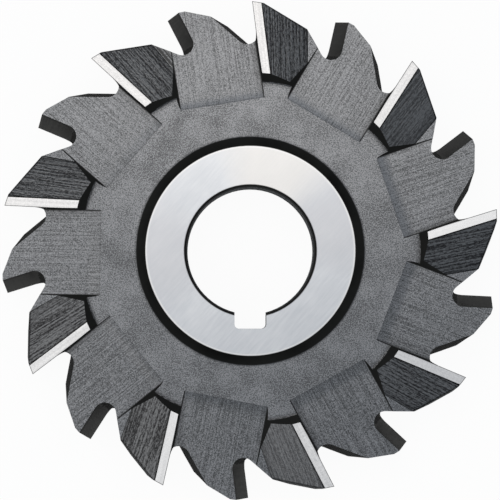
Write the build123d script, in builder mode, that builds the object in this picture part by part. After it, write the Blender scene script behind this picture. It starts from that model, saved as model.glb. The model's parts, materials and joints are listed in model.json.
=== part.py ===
from build123d import *
from math import atan2, cos, radians, sin, tan
import os

os.makedirs("parts", exist_ok=True)

# Side and face cutter with staggered teeth, ground from one disc of tool steel.
# The axis of the bore is Z and the middle of the width is at Z = 0.
# Nine teeth have their side edge on the +Z face, and nine on the -Z face, half a pitch behind.
# Seen from +Z the cutter turns counter-clockwise. Lengths are millimetres, angles are degrees.

# Disc and bore
outer_diameter = 100.0
cutter_width = 13.0
bore_diameter = 25.4
bore_chamfer = 0.55
keyway_width = 6.35
keyway_floor = 15.6
keyway_corner_radius = 0.95

# Hub and the web between hub and teeth, alike on both faces
hub_diameter = 42.1
web_depth = 1.65
hub_slope_width = 1.85
tooth_ring_bore = 71.4
ring_slope_width = 1.65
web_foot_radius = 0.5

# Teeth on the rim, measured at the tooth's own face
tooth_pairs = 9
first_tip_angle = 89.6
helix_angle = 13.0
rake_angle = 7.6
gash_depth = 8.45
gash_angle = 42.2
gash_root_radius = 2.25
land_width = 2.35
land_relief_angle = 8.1
back_facet_angle = 30.6
back_facet_helix = 8.5
back_facet_run_out = 1.2

# Channel across the face in front of each side edge
channel_width = 17.0
channel_depth = 2.1
channel_inner_end = 30.0
channel_lean = 9.4
channel_meets_rake = 7.3
channel_front_slant = 8.0
channel_rear_slant = 47.0
channel_wheel_radius = 8.0

# Side edge of each tooth and the slope behind it
side_land_width = 1.77
side_relief_angle = 13.5
heel_offset = 11.3

# How far cutting solids pass beyond the surface that they cut
overrun = 2.0

outer_radius = outer_diameter / 2
half_width = cutter_width / 2
half_pitch = 180 / tooth_pairs
hub_radius = hub_diameter / 2
ring_radius = tooth_ring_bore / 2
own_face = Plane.XY.offset(half_width)

# Angles of the tooth in radians, with the tip of the tooth on +Y at its own face
helix = radians(helix_angle)
rake = radians(rake_angle)
half_gash = radians(gash_angle) / 2
back_line = rake + 2 * half_gash
channel_turn = radians(channel_lean)
side_relief = radians(side_relief_angle)
mid_turn = atan2(half_width * tan(helix), outer_radius)
next_tip_x = outer_radius * sin(radians(half_pitch))


def lean(tilt_angle):
    """Direction that climbs along Z and leans forward by tilt_angle, square to the tip's radius."""
    tilt = radians(tilt_angle)
    return Vector(-sin(tilt) * cos(mid_turn), sin(tilt) * sin(mid_turn), cos(tilt))


def length_through(tilt_angle):
    """Length along a leaning direction that passes through the whole width."""
    return (cutter_width + overrun) / cos(radians(tilt_angle))


# Gash in front of a tooth, the land behind its tip and the facet behind the land
top = outer_radius + overrun
point_depth = gash_depth - gash_root_radius + gash_root_radius * cos(rake + half_gash) / sin(half_gash)
gash_point = (point_depth * tan(rake), outer_radius - point_depth)
rake_top = (-overrun * tan(rake), top)
back_top = (gash_point[0] - (top - gash_point[1]) * tan(back_line), top)
land_relief = radians(land_relief_angle)
land_start = (-land_width, outer_radius + land_width * tan(land_relief))
land_end = (land_width * cos(land_relief), outer_radius - land_width * sin(land_relief))
facet_fall = tan(radians(back_facet_angle))
facet_top = (land_end[0] - (top - land_end[1]) / facet_fall, top)
facet_reach = cutter_width * tan(radians(back_facet_helix)) + back_facet_run_out
facet_end_x = next_tip_x - facet_reach
facet_end = (facet_end_x, land_end[1] - (facet_end_x - land_end[0]) * facet_fall)

with BuildPart() as rim_space:
    with BuildSketch(own_face) as gash:
        with BuildLine():
            Polyline(rake_top, gash_point, back_top, close=True)
        make_face()
        fillet(gash.vertices().sort_by(Axis.Y)[0], radius=gash_root_radius)
    extrude(amount=length_through(helix_angle), dir=lean(helix_angle), both=True)
    with BuildSketch(own_face):
        with BuildLine():
            Polyline(land_start, land_end, (land_end[0], top), (land_start[0], top), close=True)
        make_face()
    extrude(amount=length_through(helix_angle), dir=lean(helix_angle), both=True)
    with BuildSketch(own_face):
        with BuildLine():
            Polyline(facet_top, facet_end, (facet_end[0], top), close=True)
        make_face()
    extrude(amount=length_through(back_facet_helix), dir=lean(back_facet_helix), both=True)

# Channel: a wheel with sloping sides is fed outward, so its inner end is round in section
outward = Vector(-sin(channel_turn), cos(channel_turn), 0)
sideways = Vector(-cos(channel_turn), -sin(channel_turn), 0)
edge_start = Vector(channel_meets_rake * tan(rake), outer_radius - channel_meets_rake, 0)
front_edge = edge_start.dot(sideways)
wheel_axis_height = channel_wheel_radius - channel_depth
web_step = channel_depth - web_depth
run_out = (channel_wheel_radius**2 - (channel_wheel_radius - web_step) ** 2) ** 0.5
wheel_centre = outward * (channel_inner_end + run_out) + Vector(0, 0, half_width)
front_foot = front_edge + channel_depth * tan(radians(channel_front_slant))
rear_foot = front_foot + channel_width
front_top = front_foot - channel_wheel_radius * tan(radians(channel_front_slant))
rear_top = rear_foot + channel_wheel_radius * tan(radians(channel_rear_slant))

with BuildPart() as face_channel:
    with BuildSketch(Plane(origin=wheel_centre, x_dir=sideways, z_dir=outward)) as channel:
        with BuildLine():
            Polyline(
                (front_top, wheel_axis_height),
                (front_foot, -channel_depth),
                (rear_foot, -channel_depth),
                (rear_top, wheel_axis_height),
                close=True,
            )
        make_face()
    extrude(amount=outer_radius + overrun - channel_inner_end)
    wheel_axis = Axis(wheel_centre + Vector(0, 0, wheel_axis_height), sideways)
    revolve(channel.sketch, axis=wheel_axis)


def space_above(floor_plane, outline):
    """Space over a sloping floor, from above the face down, with a straight-sided outline in plan."""
    with BuildPart() as space:
        with BuildSketch(own_face.offset(overrun)):
            with BuildLine():
                Polyline(*outline, close=True)
            make_face()
        extrude(amount=-(overrun + 2 * channel_depth))
        split(bisect_by=floor_plane)
    return space.part


# Slope behind the side edge, starting at the side land's rear line
land_rear = Vector(side_land_width * cos(rake), outer_radius + side_land_width * sin(rake), half_width)
relief_normal = Vector(cos(rake) * sin(side_relief), sin(rake) * sin(side_relief), cos(side_relief))
relief_plane = Plane(origin=land_rear, x_dir=(sin(rake), -cos(rake), 0), z_dir=relief_normal)
slope_inner_end = ring_radius - ring_slope_width - overrun / 2
land_rear_top = (land_rear.X + (land_rear.Y - top) * tan(rake), top)
land_rear_inner = (land_rear.X + (land_rear.Y - slope_inner_end) * tan(rake), slope_inner_end)
slope_rear_inner = (heel_offset, slope_inner_end)
slope_rear_top = (heel_offset, top)
side_slope = space_above(relief_plane, (land_rear_top, land_rear_inner, slope_rear_inner, slope_rear_top))

# Flat heel where the slope ends, level across the tooth and falling outward with the slope
heel_drop = (heel_offset - land_rear.X) * cos(rake) + (outer_radius - land_rear.Y) * sin(rake)
heel_start = Vector(heel_offset, outer_radius, half_width - heel_drop * tan(side_relief))
heel_plane = Plane(origin=heel_start, x_dir=(1, 0, 0), z_dir=(0, tan(side_relief) * sin(rake), 1))
heel_rear_inner = (next_tip_x, slope_inner_end)
heel_rear_top = (next_tip_x, top)
side_heel = space_above(heel_plane, (slope_rear_inner, heel_rear_inner, heel_rear_top, slope_rear_top))

with BuildPart() as cutter:
    # Turned disc with a hub and a web sunk into both faces
    with BuildSketch(Plane.XZ) as half_section:
        with BuildLine():
            Polyline(
                (0, 0),
                (outer_radius, 0),
                (outer_radius, half_width),
                (ring_radius, half_width),
                (ring_radius - ring_slope_width, half_width - web_depth),
                (hub_radius + hub_slope_width, half_width - web_depth),
                (hub_radius, half_width),
                (0, half_width),
                close=True,
            )
        make_face()
        web_feet = half_section.vertices().group_by(Axis.Y)[1]
        fillet(web_feet, radius=web_foot_radius)
        mirror(about=Plane.XZ)
    revolve(axis=Axis.Z)

    # Bore with both mouths chamfered, and the keyway beside it
    Hole(radius=bore_diameter / 2)
    bore_wall = cutter.faces().filter_by(GeomType.CYLINDER).sort_by(SortBy.AREA)[0]
    chamfer(bore_wall.edges().filter_by(GeomType.CIRCLE), length=bore_chamfer)
    with BuildSketch(own_face) as keyway:
        with Locations((0, -keyway_floor / 2)):
            Rectangle(keyway_width, keyway_floor)
        fillet(keyway.vertices().group_by(Axis.Y)[0], radius=keyway_corner_radius)
    extrude(amount=-cutter_width, mode=Mode.SUBTRACT)

    # Teeth of the +Z face, then those of the -Z face, which are their mirror image
    tooth_spaces = (rim_space.part, face_channel.part, side_slope, side_heel)
    with PolarLocations(0, tooth_pairs, start_angle=first_tip_angle - 90):
        for space in tooth_spaces:
            add(space, mode=Mode.SUBTRACT)
    with PolarLocations(0, tooth_pairs, start_angle=first_tip_angle - 90 - half_pitch):
        for space in tooth_spaces:
            add(mirror(space, about=Plane.XY, mode=Mode.PRIVATE), mode=Mode.SUBTRACT)

cutter.part.label = "cutter"
export_step(cutter.part, "parts/cutter.step")
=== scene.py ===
import json
from math import cos, pi, radians, sin, tan

import bmesh
import bpy
import numpy as np
from mathutils import Matrix, Vector

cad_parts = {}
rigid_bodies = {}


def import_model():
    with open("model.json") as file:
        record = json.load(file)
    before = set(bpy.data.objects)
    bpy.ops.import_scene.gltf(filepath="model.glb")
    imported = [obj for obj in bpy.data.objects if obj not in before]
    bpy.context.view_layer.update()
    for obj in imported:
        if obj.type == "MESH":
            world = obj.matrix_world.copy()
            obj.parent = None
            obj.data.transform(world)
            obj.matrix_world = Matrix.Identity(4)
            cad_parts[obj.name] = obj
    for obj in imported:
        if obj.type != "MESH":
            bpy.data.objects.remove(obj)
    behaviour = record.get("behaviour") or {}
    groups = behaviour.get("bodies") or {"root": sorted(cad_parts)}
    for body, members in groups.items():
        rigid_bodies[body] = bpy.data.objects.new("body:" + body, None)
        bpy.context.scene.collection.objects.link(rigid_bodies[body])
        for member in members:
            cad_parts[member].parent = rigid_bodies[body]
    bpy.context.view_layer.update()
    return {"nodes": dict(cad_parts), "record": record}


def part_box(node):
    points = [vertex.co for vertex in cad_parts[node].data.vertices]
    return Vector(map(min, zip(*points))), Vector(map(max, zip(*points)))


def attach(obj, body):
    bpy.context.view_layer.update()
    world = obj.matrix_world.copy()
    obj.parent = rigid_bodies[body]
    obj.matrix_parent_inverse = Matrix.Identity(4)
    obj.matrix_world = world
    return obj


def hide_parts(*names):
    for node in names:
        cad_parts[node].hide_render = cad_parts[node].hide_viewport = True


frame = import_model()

# Side and face cutter with staggered teeth, lying on one of its faces. Lengths are metres.
MM = 0.001

# Sizes read from the frame: half the width, the radius of the tips and that of the bore
LOWEST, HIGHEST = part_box("cutter")
HALF_WIDTH = HIGHEST.z
TIP_RADIUS = HIGHEST.y
BORE_RADIUS = frame["record"]["mounts"][0]["dims"]["r_mm"] * MM

# Places that part one finish from the next, seen along the axis of the bore
CHAMFER_RADIUS = BORE_RADIUS + 0.55 * MM
KEYWAY_FLOOR = 15.6 * MM
HUB_RADIUS = 21.05 * MM
HUB_FOOT_RADIUS = 22.8 * MM
RING_FOOT_RADIUS = 34.0 * MM
RING_RADIUS = 35.7 * MM
GASH_ROOT_RADIUS = 41.5 * MM
CHANNEL_WALL_RADIUS = 42.0 * MM
BACK_RADIUS = 44.5 * MM
RIM_RADIUS = 49.0 * MM

# Heights above the middle of the tool
CHANNEL_FLOOR = HALF_WIDTH - 2.1 * MM
WEB_FLOOR = HALF_WIDTH - 1.65 * MM

# Where the teeth stand, in degrees. The helix leans one way and then the other.
TOOTH_PAIRS = 9
PITCH = 360 / TOOTH_PAIRS
FIRST_TIP_ANGLE = 89.6
HELIX_ANGLE = 13.0

# Lines of a tooth, in millimetres and degrees, with its tip on +Y
RAKE_ANGLE = 7.6
SIDE_LAND_WIDTH = 1.77
RELIEF_FALL_ANGLE = 13.5
HEEL_OFFSET = 11.3
BACK_ANGLE = 30.6
BACK_START = (2.33, 49.67)
RIM_FALL_ANGLE = 8.1
CHANNEL_LEAN = 9.4
CHANNEL_FRONT = -7.64
CHANNEL_REAR = 9.36
CHANNEL_INNER_END = 30.0

# Teeth that differ a little from the others, by the direction of the tip in degrees from +X
# On the first three the side land has a painted reflection: lighter on two teeth, darker on the third
LAND_REFLECTION_TOOTH = 10
LAND_FAINT_REFLECTION_TOOTH = 250
LAND_SHADE_TOOTH = 330
LIGHT_RELIEF_TOOTH = 290
EVEN_RELIEF_TOOTH = 50
STREAKED_HEEL_TOOTH = 130

# How far a relief and a heel lie behind their tip, and the reach that takes in one tooth and no other
RELIEF_BEHIND_TIP = 9
HEEL_BEHIND_TIP = 15
TOOTH_REACH = 16

# Directions of painted light: the channels a little lighter, their inner ends lighter, and the front walls
# lighter
CHANNEL_LIT_SIDE = 105
INNER_END_LIT_SIDE = 58
WALL_LIT_SIDE = 210

# Width of the broken edge that every corner of the tool has, and how sharp a corner has to be for it
EDGE_BREAK = 0.04 * MM
BROKEN_FROM_ANGLE = 28

# An edge stays sharp from the first angle on, or from the second where two finishes meet
SHARP_FROM_ANGLE = 24
SHARP_FROM_ANGLE_BETWEEN_FINISHES = 9
MERGE_DISTANCE = 0.0005 * MM
SAME_PLANE_ANGLE = 0.3

# The photograph's camera: above the face, a little towards the keyway and to the left
FRAME_WIDTH = 100 * MM
CAMERA_HEIGHT = 705 * MM
CAMERA_PLACE = Vector((-5.5 * MM, -14.5 * MM, HALF_WIDTH + CAMERA_HEIGHT))
CAMERA_TARGET = Vector((-0.08 * MM, 0.15 * MM, HALF_WIDTH))
SENSOR_WIDTH = 36.0

# Studio: a cool white all round, two warm white lamps, and a table that is nearly all plain white
SURROUNDING_LIGHT = (0.85, 0.918, 1.0)
LAMP_LIGHT = (1.0, 0.945, 0.88)
TABLE_HALF = 1.5
TABLE_LIT = (0.82, 0.82, 0.82, 1)
TABLE_WHITE_SHARE = 0.95


# Finishes

class Finish:
    """A material being made. Each call adds one node and returns the socket that carries its result."""

    def __init__(self, name, metallic, roughness, mirror=0.5):
        self.material = bpy.data.materials.new(name)
        self.material.use_nodes = True
        self.tree = self.material.node_tree
        self.shader = self.tree.nodes["Principled BSDF"]
        self.shader.inputs["Metallic"].default_value = metallic
        self.shader.inputs["Roughness"].default_value = roughness
        self.shader.inputs["Specular IOR Level"].default_value = mirror
        coordinates = self.tree.nodes.new("ShaderNodeTexCoord")
        self.place = self.scaled(coordinates.outputs["Object"], (1 / MM, 1 / MM, 1 / MM))
        self.strokes = self.map("strokes")
        self.tooth = self.map("tooth")

    def map(self, name):
        node = self.tree.nodes.new("ShaderNodeUVMap")
        node.uv_map = name
        return node.outputs["UV"]

    def link(self, value, socket):
        if hasattr(value, "is_output"):
            self.tree.links.new(value, socket)
        else:
            socket.default_value = value

    def scaled(self, vector, scale):
        node = self.tree.nodes.new("ShaderNodeVectorMath")
        node.operation = "MULTIPLY"
        self.link(vector, node.inputs[0])
        node.inputs[1].default_value = scale
        return node.outputs["Vector"]

    def dot(self, vector, angle):
        """How far vector reaches in the direction angle, in degrees from its own first axis."""
        node = self.tree.nodes.new("ShaderNodeVectorMath")
        node.operation = "DOT_PRODUCT"
        self.link(vector, node.inputs[0])
        node.inputs[1].default_value = (cos(radians(angle)), sin(radians(angle)), 0)
        return node.outputs["Value"]

    def noise(self, vector, size, detail=2.0, rough=0.5, distortion=0.0):
        """Cloudy pattern that repeats itself, loosely, every size millimetres."""
        node = self.tree.nodes.new("ShaderNodeTexNoise")
        self.link(vector, node.inputs["Vector"])
        node.inputs["Scale"].default_value = 1 / size
        node.inputs["Detail"].default_value = detail
        node.inputs["Roughness"].default_value = rough
        node.inputs["Distortion"].default_value = distortion
        return node.outputs["Fac"]

    def streaks(self, length, width, detail=3.0, rough=0.6, distortion=0.0):
        """The cloudy pattern on the stroke map, drawn out along the strokes."""
        return self.noise(self.scaled(self.strokes, (width / length, 1, 1)), width, detail, rough, distortion)

    def spread(self, value, low, high, to_low=0.0, to_high=1.0):
        """Stretches low..high to to_low..to_high, and stops at both ends."""
        node = self.tree.nodes.new("ShaderNodeMapRange")
        self.link(value, node.inputs["Value"])
        for socket, number in zip(("From Min", "From Max", "To Min", "To Max"), (low, high, to_low, to_high)):
            node.inputs[socket].default_value = number
        return node.outputs["Result"]

    def maths(self, operation, one, other):
        node = self.tree.nodes.new("ShaderNodeMath")
        node.operation = operation
        self.link(one, node.inputs[0])
        self.link(other, node.inputs[1])
        return node.outputs["Value"]

    def total(self, *parts):
        """Adds up the parts, each a pair of a value and its weight."""
        sum_so_far = None
        for value, weight in parts:
            part = self.maths("MULTIPLY", value, weight)
            sum_so_far = part if sum_so_far is None else self.maths("ADD", sum_so_far, part)
        return sum_so_far

    def highest(self, first, *others):
        """The highest of all the values."""
        for other in others:
            first = self.maths("MAXIMUM", first, other)
        return first

    def radius(self):
        """Distance from the axis of the bore, in millimetres."""
        node = self.tree.nodes.new("ShaderNodeVectorMath")
        node.operation = "LENGTH"
        self.link(self.scaled(self.place, (1, 1, 0)), node.inputs[0])
        return node.outputs["Value"]

    def towards(self, angle):
        """Cosine of the angle between a place's own direction from the axis and the direction angle."""
        return self.maths("DIVIDE", self.dot(self.place, angle), self.radius())

    def around(self, angle, reach, most=1.0, softness=3):
        """most within reach degrees of the direction angle, and 0 from softness degrees further on."""
        low, high = cos(radians(reach + softness)), cos(radians(reach))
        return self.spread(self.towards(angle), low, high, 0, most)

    def past_line(self, point, angle):
        """Distance past a line through point in the tooth's frame. It grows in the direction angle."""
        start = point[0] * cos(radians(angle)) + point[1] * sin(radians(angle))
        return self.maths("SUBTRACT", self.dot(self.tooth, angle), start)

    def wandering(self, distance, size, reach):
        """The distance, made uneven by up to reach millimetres."""
        clouds = self.noise(self.place, size, 2.0)
        return self.maths("ADD", distance, self.spread(clouds, 0.3, 0.7, -reach, reach))

    def mixed(self, share, one, other):
        """A colour that goes from one to other as share goes from 0 to 1."""
        node = self.tree.nodes.new("ShaderNodeMix")
        node.data_type = "RGBA"
        self.link(share, node.inputs["Factor"])
        colours = [socket for socket in node.inputs if socket.type == "RGBA"]
        for value, socket in zip((one, other), colours):
            self.link(value if hasattr(value, "is_output") else (*value, 1.0), socket)
        return next(socket for socket in node.outputs if socket.type == "RGBA")

    def colour(self, value):
        self.link(value, self.shader.inputs["Base Color"])

    def roughness(self, value):
        self.link(value, self.shader.inputs["Roughness"])

    def bump(self, height, depth):
        """Relief in the surface, with depth in millimetres between its low and its high places."""
        node = self.tree.nodes.new("ShaderNodeBump")
        self.link(height, node.inputs["Height"])
        node.inputs["Distance"].default_value = depth * MM
        self.tree.links.new(node.outputs["Normal"], self.shader.inputs["Normal"])


def ground_hub(name):
    """Bright ground face of the hub, with faint slanting strokes and a painted highlight along its outer rim.

    Both its edges have a thin dark line, the outer one a painted shadow line. A painted reflection makes it a
    little yellower at the top, and painted shade makes it a little darker at the sides.
    """
    finish = Finish(name, 1.0, 0.34)
    cool_low, cool_high = (0.453, 0.469, 0.495), (0.543, 0.554, 0.572)
    # Colours of a painted reflection for the top of the face and of painted shade for its sides
    top_reflection, side_shade = (0.625, 0.60, 0.565), (0.41, 0.41, 0.43)
    # Colour of a painted highlight along the rim, and near-black for the thin edge lines, the outer one
    # painted shade
    rim_highlight, oxide = (0.62, 0.62, 0.62), (0.01, 0.01, 0.01)
    strokes = finish.streaks(5.0, 0.55, 3.0, 0.6)
    clouds = finish.noise(finish.place, 7.0, 3.0)
    tone = finish.total((finish.spread(strokes, 0.35, 0.65), 0.55), (finish.spread(clouds, 0.35, 0.65), 0.45))
    steel = finish.mixed(tone, cool_low, cool_high)
    # Painted reflection towards the top, painted shade towards both sides
    steel = finish.mixed(finish.around(74, 15, most=0.5, softness=22), steel, top_reflection)
    steel = finish.mixed(finish.around(17, 12, most=0.45, softness=22), steel, side_shade)
    steel = finish.mixed(finish.around(182, 14, most=0.45, softness=24), steel, side_shade)
    inner_edge, outer_edge = CHAMFER_RADIUS / MM, HUB_RADIUS / MM
    # A painted highlight just inside the rim, a thin dark line at the bore's edge, a painted shadow line at
    # the outer edge
    rim = finish.spread(finish.radius(), outer_edge - 0.5, outer_edge - 0.15)
    inner_fringe = finish.spread(finish.radius(), inner_edge, inner_edge + 0.16, 0.9, 0)
    hub_edge_shade = finish.spread(finish.radius(), outer_edge - 0.13, outer_edge - 0.02, 0, 0.9)
    steel = finish.mixed(rim, steel, rim_highlight)
    finish.colour(finish.mixed(finish.highest(inner_fringe, hub_edge_shade), steel, oxide))
    finish.roughness(finish.spread(strokes, 0.3, 0.7, 0.31, 0.37))
    finish.bump(strokes, 0.002)
    return finish.material


def ground_side_land(name):
    """Bright ground strip along the side edge, with fine strokes along it and a dark line at its edges.

    Two teeth have a painted reflection that makes theirs lighter, and one tooth has painted shade that makes
    its darker.
    """
    finish = Finish(name, 1.0, 0.45)
    low, high = (0.566, 0.560, 0.558), (0.746, 0.736, 0.728)
    land_reflection, land_shade, outline = (0.86, 0.85, 0.84), (0.36, 0.37, 0.39), (0.06, 0.06, 0.06)
    strokes = finish.streaks(14.0, 0.5, 3.0, 0.6)
    marks = finish.streaks(0.25, 2.5, 2.0, 0.5)
    speckle = finish.noise(finish.place, 0.3, 0.0)
    tone = finish.total(
        (finish.spread(strokes, 0.3, 0.7), 0.45),
        (finish.spread(marks, 0.3, 0.7), 0.25),
        (finish.spread(speckle, 0.3, 0.7), 0.3),
    )
    steel = finish.mixed(finish.spread(tone, 0.2, 0.8), low, high)
    # Painted reflection on the lands of two teeth, and painted shade on the land of a third
    steel = finish.mixed(finish.around(LAND_REFLECTION_TOOTH, TOOTH_REACH, most=0.5), steel, land_reflection)
    steel = finish.mixed(finish.around(LAND_FAINT_REFLECTION_TOOTH, TOOTH_REACH, most=0.35), steel, land_reflection)
    steel = finish.mixed(finish.around(LAND_SHADE_TOOTH, TOOTH_REACH, most=0.3), steel, land_shade)
    tip = (0, TIP_RADIUS / MM)
    from_cutting_edge = finish.past_line(tip, RAKE_ANGLE)
    from_rim = finish.past_line(tip, 270 - RIM_FALL_ANGLE)
    edge = finish.spread(finish.maths("MINIMUM", from_cutting_edge, from_rim), 0.06, 0.16, 1, 0)
    finish.colour(finish.mixed(edge, steel, outline))
    finish.roughness(finish.spread(marks, 0.3, 0.7, 0.42, 0.48))
    finish.bump(strokes, 0.003)
    return finish.material


def milled_relief(name):
    """Dark slope behind the side land: torn streaks run along the tooth, and its borders are black. Along the
    heel the black line and a soft band beside it are painted shade in the corner.

    One tooth has a lighter one, and one tooth has a more even one.
    """
    finish = Finish(name, 0.8, 0.30, 0.3)
    low, high, border = (0.019, 0.019, 0.020), (0.127, 0.130, 0.134), (0.006, 0.006, 0.006)
    lighter, more_even = (0.155, 0.157, 0.162), (0.118, 0.119, 0.121)
    lines = finish.streaks(12.0, 0.34, 0.0, 0.5, 0.06)
    scales = finish.streaks(0.8, 0.26, 0.0, 0.5)
    speckle = finish.noise(finish.place, 0.21, 0.0)
    tone = finish.total(
        (finish.spread(lines, 0.34, 0.66), 0.42),
        (finish.spread(scales, 0.34, 0.66), 0.32),
        (finish.spread(speckle, 0.34, 0.66), 0.26),
    )
    light_tooth = finish.around(LIGHT_RELIEF_TOOTH - RELIEF_BEHIND_TIP, TOOTH_REACH, most=0.34)
    even_tooth = finish.around(EVEN_RELIEF_TOOTH - RELIEF_BEHIND_TIP, TOOTH_REACH, most=0.28)
    steel = finish.mixed(finish.spread(tone, 0.24, 0.78), low, high)
    steel = finish.mixed(light_tooth, steel, lighter)
    steel = finish.mixed(even_tooth, steel, more_even)
    behind_edge = finish.wandering(finish.past_line((0, TIP_RADIUS / MM), RAKE_ANGLE), 1.2, 0.05)
    behind_land = finish.maths("SUBTRACT", behind_edge, SIDE_LAND_WIDTH)
    land_side = finish.spread(behind_land, 0.12, 0.42, 1, 0)
    # Painted shade: a dark line and a soft band in the corner where the relief meets the heel
    before_heel = finish.wandering(finish.past_line((HEEL_OFFSET, 0), 180), 1.2, 0.12)
    heel_line = finish.spread(before_heel, 0.10, 0.50, 0.75, 0)
    heel_corner_shade = finish.spread(before_heel, 0.3, 2.2, 0.28, 0)
    back_side = finish.spread(finish.past_line(BACK_START, 270 - BACK_ANGLE), 0.1, 0.3, 0.8, 0)
    finish.colour(finish.mixed(finish.highest(land_side, heel_line, heel_corner_shade, back_side), steel, border))
    finish.bump(tone, 0.035)
    return finish.material


def blasted_steel(name, grain_size, cloudiness):
    """Steel with a blasted skin: fine grain, coarser speckle and, for a share of cloudiness, soft clouds."""
    finish = Finish(name, 0.55, 0.27, 0.4)
    speckle = finish.noise(finish.place, grain_size, 0.0)
    fine = finish.noise(finish.place, 0.6 * grain_size, 0.0)
    clouds = finish.noise(finish.place, 6.0, 2.0)
    grain = finish.total((finish.spread(speckle, 0.3, 0.7), 0.3), (finish.spread(fine, 0.3, 0.7), 0.7))
    tone = finish.total((grain, 1 - cloudiness), (finish.spread(clouds, 0.35, 0.65), cloudiness))
    return finish, grain, tone


def blasted_web(name):
    """Grey web between hub and teeth, with painted shade at the bottom of its two slopes."""
    finish, grain, tone = blasted_steel(name, grain_size=0.29, cloudiness=0.2)
    low, high, foot_shade = (0.058, 0.060, 0.063), (0.250, 0.254, 0.264), (0.008, 0.008, 0.008)
    steel = finish.mixed(finish.spread(tone, 0.2, 0.8), low, high)
    radius = finish.wandering(finish.radius(), 1.0, 0.08)
    hub_edge, ring_edge = HUB_FOOT_RADIUS / MM, RING_FOOT_RADIUS / MM
    # Painted shade where the web meets the slopes of the hub and of the tooth ring
    hub_foot_shade = finish.spread(radius, hub_edge, hub_edge + 0.5, 0.8, 0)
    ring_foot_shade = finish.spread(radius, ring_edge - 0.8, ring_edge, 0, 0.6)
    finish.colour(finish.mixed(finish.highest(hub_foot_shade, ring_foot_shade), steel, foot_shade))
    finish.bump(grain, 0.008)
    return finish.material


def blasted_channel(name):
    """Grey floor of a channel: grain over the wheel's long fine lines and a few scores.

    The corners along its walls are black and its inner end is dusky, both painted shade. Painted light makes
    the channels a little lighter on one side of the tool, with less shade at their inner ends there, and
    makes their inner ends a little lighter on another side.
    """
    finish, grain, tone = blasted_steel(name, grain_size=0.24, cloudiness=0.06)
    low, high = (0.052, 0.054, 0.056), (0.243, 0.247, 0.257)
    score, corner = (0.02, 0.02, 0.02), (0.012, 0.012, 0.012)
    lines = finish.spread(finish.streaks(16.0, 0.26, 0.0), 0.34, 0.66)
    scores = finish.spread(finish.streaks(9.0, 0.30, 0.0), 0.70, 0.76)
    from_end = finish.past_line((0, CHANNEL_INNER_END / cos(radians(CHANNEL_LEAN))), 90 + CHANNEL_LEAN)
    # Painted light: lighter towards one side of the tool, which also takes shade off the inner ends there
    lit_side = finish.towards(CHANNEL_LIT_SIDE)
    # Painted light on the inner ends towards another side of the tool
    lit_end = finish.spread(from_end, 0.8, 1.8, 1, 0)
    end_light = finish.maths("MULTIPLY", lit_end, finish.around(INNER_END_LIT_SIDE, 55, most=0.14, softness=14))
    tone = finish.total((tone, 0.78), (lines, 0.22), (lit_side, 0.045), (end_light, 1))
    steel = finish.mixed(finish.spread(tone, 0.2, 0.8), low, high)
    steel = finish.mixed(finish.maths("MULTIPLY", scores, 0.45), steel, score)
    behind_front = finish.maths("SUBTRACT", finish.past_line((0, 0), 180 + CHANNEL_LEAN), CHANNEL_FRONT)
    before_rear = finish.maths("ADD", finish.past_line((0, 0), CHANNEL_LEAN), CHANNEL_REAR)
    # Painted shade: black corners by the front and rear walls, a soft band by the front wall, the step and
    # the inner end
    front = finish.spread(behind_front, 0.08, 0.38, 1, 0)
    front_soft = finish.spread(finish.wandering(behind_front, 2.0, 0.2), 0.3, 1.5, 0.26, 0)
    rear = finish.spread(before_rear, 0.02, 0.2, 0.8, 0)
    step = finish.spread(from_end, 0.05, 0.3, 0.34, 0)
    near_end = finish.spread(finish.wandering(from_end, 1.5, 0.2), 0.2, 3.4, 1, 0)
    inner = finish.maths("MULTIPLY", near_end, finish.spread(lit_side, -1, 1, 0.18, 0))
    finish.colour(finish.mixed(finish.highest(front, front_soft, rear, step, inner), steel, corner))
    finish.bump(finish.total((grain, 0.7), (lines, 0.3)), 0.012)
    return finish.material


def blasted_heel(name):
    """Grey flat heel of a tooth. On one tooth the streaks of the relief run on over it."""
    finish, grain, tone = blasted_steel(name, grain_size=0.29, cloudiness=0.1)
    low, high, streak = (0.063, 0.065, 0.068), (0.226, 0.231, 0.241), (0.02, 0.02, 0.02)
    steel = finish.mixed(finish.spread(tone, 0.2, 0.8), low, high)
    streaks = finish.spread(finish.streaks(12.0, 0.34, 0.0, 0.5, 0.06), 0.36, 0.60, 0.95, 0.25)
    streaked_tooth = finish.around(STREAKED_HEEL_TOOTH - HEEL_BEHIND_TIP, TOOTH_REACH)
    finish.colour(finish.mixed(finish.maths("MULTIPLY", streaked_tooth, streaks), steel, streak))
    finish.bump(grain, 0.012)
    return finish.material


def black_wall(name):
    """Black oxide on the slopes of hub and tooth ring, the walls of the channels and the bore's chamfers.

    The hub's slope greys a little outwards, and the chamfers grey towards the bore.
    """
    finish = Finish(name, 0.2, 0.7, 0.1)
    low, high = (0.0015, 0.0016, 0.0013), (0.0115, 0.0118, 0.0105)
    outer_grey, bore_grey = (0.016, 0.016, 0.015), (0.040, 0.040, 0.039)
    clouds = finish.noise(finish.place, 12.0, 3.0, 0.6)
    lines = finish.streaks(9.0, 0.6, 2.0, 0.5)
    tone = finish.total((finish.spread(clouds, 0.35, 0.65), 0.8), (finish.spread(lines, 0.3, 0.7), 0.2))
    hub_edge, bore_edge = HUB_RADIUS / MM, BORE_RADIUS / MM
    outwards = finish.spread(finish.radius(), hub_edge + 0.35, hub_edge + 1.85, 0, 0.45)
    at_bore = finish.spread(finish.radius(), bore_edge + 0.1, bore_edge + 0.35, 0.9, 0)
    oxide = finish.mixed(outwards, finish.mixed(tone, low, high), outer_grey)
    finish.colour(finish.mixed(at_bore, oxide, bore_grey))
    finish.bump(lines, 0.006)
    return finish.material


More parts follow.
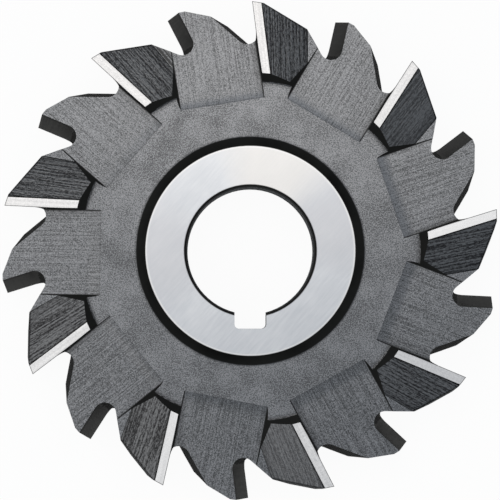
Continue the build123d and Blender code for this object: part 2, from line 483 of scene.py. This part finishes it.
def rake_wall(name):
    """Dark front wall of a tooth, with the gashing cutter's lines. Painted shade makes it black at its root
    and near the face, and painted light makes it a little lighter towards one side of the tool.
    """
    finish = Finish(name, 0.6, 0.75, 0.2)
    low, high, end_shade = (0.009, 0.009, 0.008), (0.031, 0.031, 0.028), (0.004, 0.004, 0.003)
    lines = finish.streaks(12.0, 0.6, 2.0, 0.6)
    clouds = finish.noise(finish.place, 3.0, 3.0, 0.6)
    tone = finish.total(
        (finish.spread(lines, 0.3, 0.7), 0.6),
        (finish.spread(clouds, 0.3, 0.7), 0.4),
        # Painted light: a little lighter towards one side of the tool
        (finish.towards(WALL_LIT_SIDE), 0.4),
    )
    oxide = finish.mixed(finish.spread(tone, 0.2, 0.8), low, high)
    # Painted shade near the face and in the root of the gash
    top = finish.spread(finish.past_line((0, CHANNEL_FLOOR / MM), 90), -1.7, -0.9)
    root = finish.spread(finish.past_line((GASH_ROOT_RADIUS / MM, 0), 0), 0.9, 4.6, 1, 0)
    finish.colour(finish.mixed(finish.highest(top, root), oxide, end_shade))
    finish.bump(tone, 0.01)
    return finish.material


def gash_back(name):
    """Black root and back of a gash, with faint lines of the gashing cutter."""
    finish = Finish(name, 0.0, 0.8, 0.04)
    low, high = (0.004, 0.004, 0.0035), (0.013, 0.013, 0.012)
    lines = finish.streaks(12.0, 0.8, 3.0, 0.6)
    finish.colour(finish.mixed(finish.spread(lines, 0.3, 0.7), low, high))
    finish.bump(lines, 0.008)
    return finish.material


def ground_rim_land(name):
    """Bright ground strip on the rim, with the grinding wheel's strokes across it."""
    finish = Finish(name, 1.0, 0.38)
    low, high = (0.52, 0.52, 0.53), (0.64, 0.64, 0.64)
    strokes = finish.streaks(2.0, 0.4, 3.0, 0.6)
    finish.colour(finish.mixed(finish.spread(strokes, 0.3, 0.7), low, high))
    finish.bump(strokes, 0.003)
    return finish.material


def milled_back(name):
    """Dark sloping back of a tooth, with the cutter's lines along it."""
    finish = Finish(name, 0.1, 0.8, 0.05)
    low, high = (0.012, 0.012, 0.012), (0.050, 0.051, 0.052)
    lines = finish.streaks(9.0, 0.7, 3.0, 0.6, 0.3)
    speckle = finish.noise(finish.place, 0.6, 2.0)
    tone = finish.total((finish.spread(lines, 0.32, 0.68), 0.65), (finish.spread(speckle, 0.32, 0.68), 0.35))
    finish.colour(finish.mixed(tone, low, high))
    finish.bump(tone, 0.02)
    return finish.material


def ground_bore(name):
    """Bore wall and keyway: ground steel with painted shade, dark all over, and fine lines along the axis."""
    finish = Finish(name, 0.15, 0.75, 0.05)
    # Dark colours: painted shade of the deep bore
    low, high = (0.024, 0.027, 0.029), (0.058, 0.063, 0.067)
    lines = finish.streaks(8.0, 0.5, 3.0, 0.6)
    finish.colour(finish.mixed(finish.spread(lines, 0.3, 0.7), low, high))
    finish.bump(lines, 0.003)
    return finish.material


MAKERS = (
    ground_hub, ground_side_land, milled_relief, blasted_web, blasted_channel, blasted_heel,
    black_wall, rake_wall, gash_back, ground_rim_land, milled_back, ground_bore,
)
FINISH_NUMBER = {maker.__name__: number for number, maker in enumerate(MAKERS)}


# Mesh of the cutter, with a finish for each face

def merged_copy(node, name):
    """The node's own triangles, with the corners that lie on each other made one."""
    mesh = bpy.data.meshes.new(name)
    work = bmesh.new()
    work.from_mesh(node.data)
    bmesh.ops.remove_doubles(work, verts=work.verts, dist=MERGE_DISTANCE)
    work.to_mesh(mesh)
    work.free()
    piece = bpy.data.objects.new(name, mesh)
    bpy.context.scene.collection.objects.link(piece)
    return piece


def face_places(mesh):
    """Normals and centres of all faces, as two arrays."""
    count = len(mesh.polygons)
    normals = np.empty(count * 3, np.float32)
    centres = np.empty(count * 3, np.float32)
    mesh.polygons.foreach_get("normal", normals)
    mesh.polygons.foreach_get("center", centres)
    return normals.reshape(-1, 3), centres.reshape(-1, 3)


def finish_of_faces(normals, centres):
    """Which finish each face has, told by how steep it is, its height above the middle and its radius.

    Each rule overrules those before it. Upright is 1 for a level face and 0 for a wall. Outward is 1 for a
    wall that faces away from the axis, and around is 1 for one that faces straight ahead round it.
    """
    radius = np.hypot(centres[:, 0], centres[:, 1])
    level = np.abs(centres[:, 2])
    upright = np.abs(normals[:, 2])
    outward = (normals[:, 0] * centres[:, 0] + normals[:, 1] * centres[:, 1]) / radius
    around = (normals[:, 1] * centres[:, 0] - normals[:, 0] * centres[:, 1]) / radius
    near = 0.02 * MM
    flat = upright > 0.99999
    levelled = upright >= 0.9
    sloping = (upright > 0.05) & ~levelled
    wall = upright < 0.3
    relief_like = np.abs(upright - cos(radians(RELIEF_FALL_ANGLE))) < 0.0125
    at_face = flat & (level > HALF_WIDTH - near)
    in_channel = level < WEB_FLOOR - near
    outer = radius > RING_RADIUS
    rules = (
        ("rake_wall", upright >= 0),
        ("gash_back", wall & (around < 0.9) & (radius > GASH_ROOT_RADIUS - MM)),
        ("milled_back", wall & (outward > 0.75) & (radius > BACK_RADIUS)),
        ("ground_rim_land", (outward > 0.95) & (radius > RIM_RADIUS)),
        ("black_wall", sloping & (radius < CHANNEL_WALL_RADIUS) & (level > CHANNEL_FLOOR - near)),
        ("blasted_channel", levelled & in_channel),
        ("blasted_web", levelled & ~in_channel & (radius < RING_RADIUS)),
        ("milled_relief", relief_like & outer & (around < -0.05)),
        ("blasted_heel", (upright > 0.999) & ~flat & outer),
        ("blasted_channel", flat & (level < CHANNEL_FLOOR + near)),
        ("ground_side_land", at_face & outer),
        ("ground_hub", at_face & (radius < HUB_RADIUS)),
        ("ground_bore", (upright < 0.05) & (radius < KEYWAY_FLOOR + MM)),
    )
    finish = np.zeros(len(centres), np.int32)
    for name, where in rules:
        finish[where] = FINISH_NUMBER[name]
    return finish


def tooth_turns(finish, centres):
    """How far each face's tooth is turned from +Y, in radians.

    A channel lies in front of its tooth, by a little under half a pitch, and all else lies behind it.
    The teeth of the lower side are half a pitch behind those of the upper side.
    """
    first_tip = FIRST_TIP_ANGLE - np.where(centres[:, 2] < 0, PITCH / 2, 0)
    ahead = np.degrees(np.arctan2(centres[:, 1], centres[:, 0])) - first_tip
    middle = np.where(finish == FINISH_NUMBER["blasted_channel"], 0.42 * PITCH, -0.2 * PITCH)
    return np.radians(np.round((ahead - middle) / PITCH) * PITCH + first_tip - 90)


STROKE_LEAN = {
    "ground_side_land": RAKE_ANGLE,
    "milled_relief": 1.5,
    "blasted_channel": CHANNEL_LEAN,
    "blasted_heel": 0.0,
    "ground_hub": -42.0,
}


def stroke_directions(finish, normals, centres, turns):
    """The way that the wheel or cutter ran over each face, as one unit vector a face.

    On the side faces it is the tooth's own outward line, leaned by the finish's angle. On the walls of the
    rim it climbs along the axis and leans forward by the helix angle.
    """
    lean = np.zeros(len(finish))
    for name, angle in STROKE_LEAN.items():
        lean[finish == FINISH_NUMBER[name]] = radians(angle)
    angle = np.where(finish == FINISH_NUMBER["ground_hub"], 0, turns) + lean
    level = np.stack([-np.sin(angle), np.cos(angle), np.zeros_like(angle)], axis=1)
    climb = tan(radians(HELIX_ANGLE)) * np.sign(centres[:, 2]) / np.hypot(centres[:, 0], centres[:, 1])
    climbing = np.stack([-climb * centres[:, 1], climb * centres[:, 0], np.ones(len(finish))], axis=1)
    strokes = np.where((np.abs(normals[:, 2]) < 0.5)[:, None], climbing, level)
    strokes -= normals * np.sum(strokes * normals, axis=1, keepdims=True)
    return strokes / np.linalg.norm(strokes, axis=1, keepdims=True)


def write_maps(mesh, finish):
    """Two UV maps in millimetres.

    The first, strokes, runs along and across the strokes of a face's finish. Each tooth starts 7 mm further
    on than the last one, so that no two have the same marks. The second, tooth, has a flat face's place in
    its tooth's frame, with the tip on +Y. On a wall of the rim it has the radius, and the height towards the
    end that can be seen from a side.
    """
    normals, centres = face_places(mesh)
    turns = tooth_turns(finish, centres)
    along = stroke_directions(finish, normals, centres, turns)
    across = np.cross(normals, along)
    own_start = 7.0 * np.round(np.degrees(turns) / PITCH * 2)
    spots = np.empty(len(mesh.vertices) * 3, np.float32)
    mesh.vertices.foreach_get("co", spots)
    loop_vertex = np.empty(len(mesh.loops), np.int32)
    mesh.loops.foreach_get("vertex_index", loop_vertex)
    loop_total = np.empty(len(mesh.polygons), np.int32)
    mesh.polygons.foreach_get("loop_total", loop_total)
    face = np.repeat(np.arange(len(mesh.polygons)), loop_total)
    spots = spots.reshape(-1, 3)[loop_vertex] / MM
    u = np.sum(spots * along[face], axis=1) + own_start[face]
    v = np.sum(spots * across[face], axis=1) + own_start[face]
    turn_cos, turn_sin = np.cos(turns)[face], np.sin(turns)[face]
    wall = np.abs(normals[face, 2]) < 0.5
    in_tooth_x = spots[:, 0] * turn_cos + spots[:, 1] * turn_sin
    in_tooth_y = spots[:, 1] * turn_cos - spots[:, 0] * turn_sin
    x = np.where(wall, np.hypot(spots[:, 0], spots[:, 1]), in_tooth_x)
    y = np.where(wall, spots[:, 2] * np.sign(normals[face, 2]), in_tooth_y)
    for name, pair in (("strokes", (u, v)), ("tooth", (x, y))):
        layer = mesh.uv_layers.get(name) or mesh.uv_layers.new(name=name)
        layer.data.foreach_set("uv", np.stack(pair, axis=1).astype(np.float32).ravel())


def dressed_cutter(materials):
    """The cutter as one piece: every face has its finish, and every sharp corner a broken edge."""
    piece = merged_copy(frame["nodes"]["cutter"], "cutter_body")
    mesh = piece.data
    mesh.materials.clear()
    for material in materials:
        mesh.materials.append(material)
    finish = finish_of_faces(*face_places(mesh))
    mesh.polygons.foreach_set("material_index", finish)
    work = bmesh.new()
    work.from_mesh(mesh)
    bmesh.ops.dissolve_limit(
        work,
        angle_limit=radians(SAME_PLANE_ANGLE),
        verts=work.verts,
        edges=work.edges,
        delimit={"MATERIAL"},
    )
    for edge in work.edges:
        two_finishes = len({face.material_index for face in edge.link_faces}) == 2
        sharp_from = SHARP_FROM_ANGLE_BETWEEN_FINISHES if two_finishes else SHARP_FROM_ANGLE
        edge.smooth = edge.calc_face_angle(0) < radians(sharp_from)
    for face in work.faces:
        face.smooth = True
    work.to_mesh(mesh)
    work.free()
    finish = np.empty(len(mesh.polygons), np.int32)
    mesh.polygons.foreach_get("material_index", finish)
    write_maps(mesh, finish)
    bevel = piece.modifiers.new("broken edges", "BEVEL")
    bevel.width = EDGE_BREAK
    bevel.segments = 2
    bevel.limit_method = "ANGLE"
    bevel.angle_limit = radians(BROKEN_FROM_ANGLE)
    bevel.use_clamp_overlap = True
    flat_first = piece.modifiers.new("flat faces stay flat", "WEIGHTED_NORMAL")
    flat_first.mode = "FACE_AREA"
    flat_first.weight = 100
    flat_first.keep_sharp = True
    return piece


# Floor, light and camera

def table_white():
    """Plain white to the camera and in reflections, but for a small lit share that shows the shadow."""
    material = bpy.data.materials.new("floor white")
    material.use_nodes = True
    nodes = material.node_tree.nodes
    links = material.node_tree.links
    nodes.clear()
    lit = nodes.new("ShaderNodeBsdfDiffuse")
    lit.inputs["Color"].default_value = TABLE_LIT
    white = nodes.new("ShaderNodeEmission")
    white.inputs["Color"].default_value = (1, 1, 1, 1)
    ray = nodes.new("ShaderNodeLightPath")
    seen = ray.outputs["Is Camera Ray"]
    for kind in ("Is Glossy Ray", "Is Transmission Ray"):
        either = nodes.new("ShaderNodeMath")
        either.operation = "MAXIMUM"
        links.new(seen, either.inputs[0])
        links.new(ray.outputs[kind], either.inputs[1])
        seen = either.outputs["Value"]
    share = nodes.new("ShaderNodeMath")
    share.operation = "MULTIPLY"
    links.new(seen, share.inputs[0])
    share.inputs[1].default_value = TABLE_WHITE_SHARE
    mix = nodes.new("ShaderNodeMixShader")
    links.new(share.outputs["Value"], mix.inputs["Fac"])
    links.new(lit.outputs["BSDF"], mix.inputs[1])
    links.new(white.outputs["Emission"], mix.inputs[2])
    out = nodes.new("ShaderNodeOutputMaterial")
    links.new(mix.outputs["Shader"], out.inputs["Surface"])
    return material


def pale_floor():
    """The table: one square at the height of the tool's lower face."""
    mesh = bpy.data.meshes.new("floor")
    sides = ((-1, -1), (1, -1), (1, 1), (-1, 1))
    corners = [(x * TABLE_HALF, y * TABLE_HALF, LOWEST.z) for x, y in sides]
    mesh.from_pydata(corners, [], [(0, 1, 2, 3)])
    mesh.materials.append(table_white())
    floor = bpy.data.objects.new("floor", mesh)
    bpy.context.scene.collection.objects.link(floor)


def studio_world(colour, strength):
    """Even light from all sides."""
    world = bpy.data.worlds.new("studio")
    world.use_nodes = True
    background = world.node_tree.nodes["Background"]
    background.inputs["Color"].default_value = (*colour, 1)
    background.inputs["Strength"].default_value = strength
    bpy.context.scene.world = world


def softbox(name, azimuth, elevation, distance, size, glow, colour):
    """A square lamp that faces the tool, azimuth counter-clockwise from +X, both angles in degrees.

    Its glow is how bright it looks, and 1 is a white sheet of paper. The power is glow times pi times area.
    """
    lamp = bpy.data.lights.new(name, "AREA")
    lamp.shape = "SQUARE"
    lamp.size = size
    lamp.energy = glow * pi * size ** 2
    lamp.color = colour
    holder = bpy.data.objects.new(name, lamp)
    flat = distance * cos(radians(elevation))
    place = Vector((
        flat * cos(radians(azimuth)),
        flat * sin(radians(azimuth)),
        distance * sin(radians(elevation)),
    ))
    holder.location = place
    holder.rotation_euler = (-place).to_track_quat("-Z", "Y").to_euler()
    bpy.context.scene.collection.objects.link(holder)


def photograph_camera():
    """Looks almost straight down, with +Y at the top. The frame is 100 mm wide at the upper face."""
    camera = bpy.data.cameras.new("camera")
    holder = bpy.data.objects.new("camera", camera)
    bpy.context.scene.collection.objects.link(holder)
    ahead = (CAMERA_TARGET - CAMERA_PLACE).normalized()
    right = ahead.cross(Vector((0, 1, 0))).normalized()
    up = right.cross(ahead)
    turn = Matrix((right, up, -ahead)).transposed()
    holder.matrix_world = Matrix.Translation(CAMERA_PLACE) @ turn.to_4x4()
    distance = (CAMERA_TARGET - CAMERA_PLACE).length
    camera.sensor_width = SENSOR_WIDTH
    camera.lens = SENSOR_WIDTH * distance / FRAME_WIDTH
    camera.clip_start = 0.01
    camera.clip_end = 20
    bpy.context.scene.camera = holder


for start_up_object in [o for o in bpy.data.objects if o.name in ("Cube", "Light", "Camera")]:
    bpy.data.objects.remove(start_up_object)

body = dressed_cutter([maker(maker.__name__) for maker in MAKERS])
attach(body, "root")
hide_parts("cutter")

pale_floor()
studio_world(SURROUNDING_LIGHT, strength=0.625)
softbox("near softbox", 70.6, 72.5, distance=0.25, size=0.124, glow=1.56, colour=LAMP_LIGHT)
softbox("left softbox", 170, 60, distance=0.367, size=0.357, glow=1.04, colour=LAMP_LIGHT)
photograph_camera()
bpy.context.scene.view_settings.view_transform = "Standard"
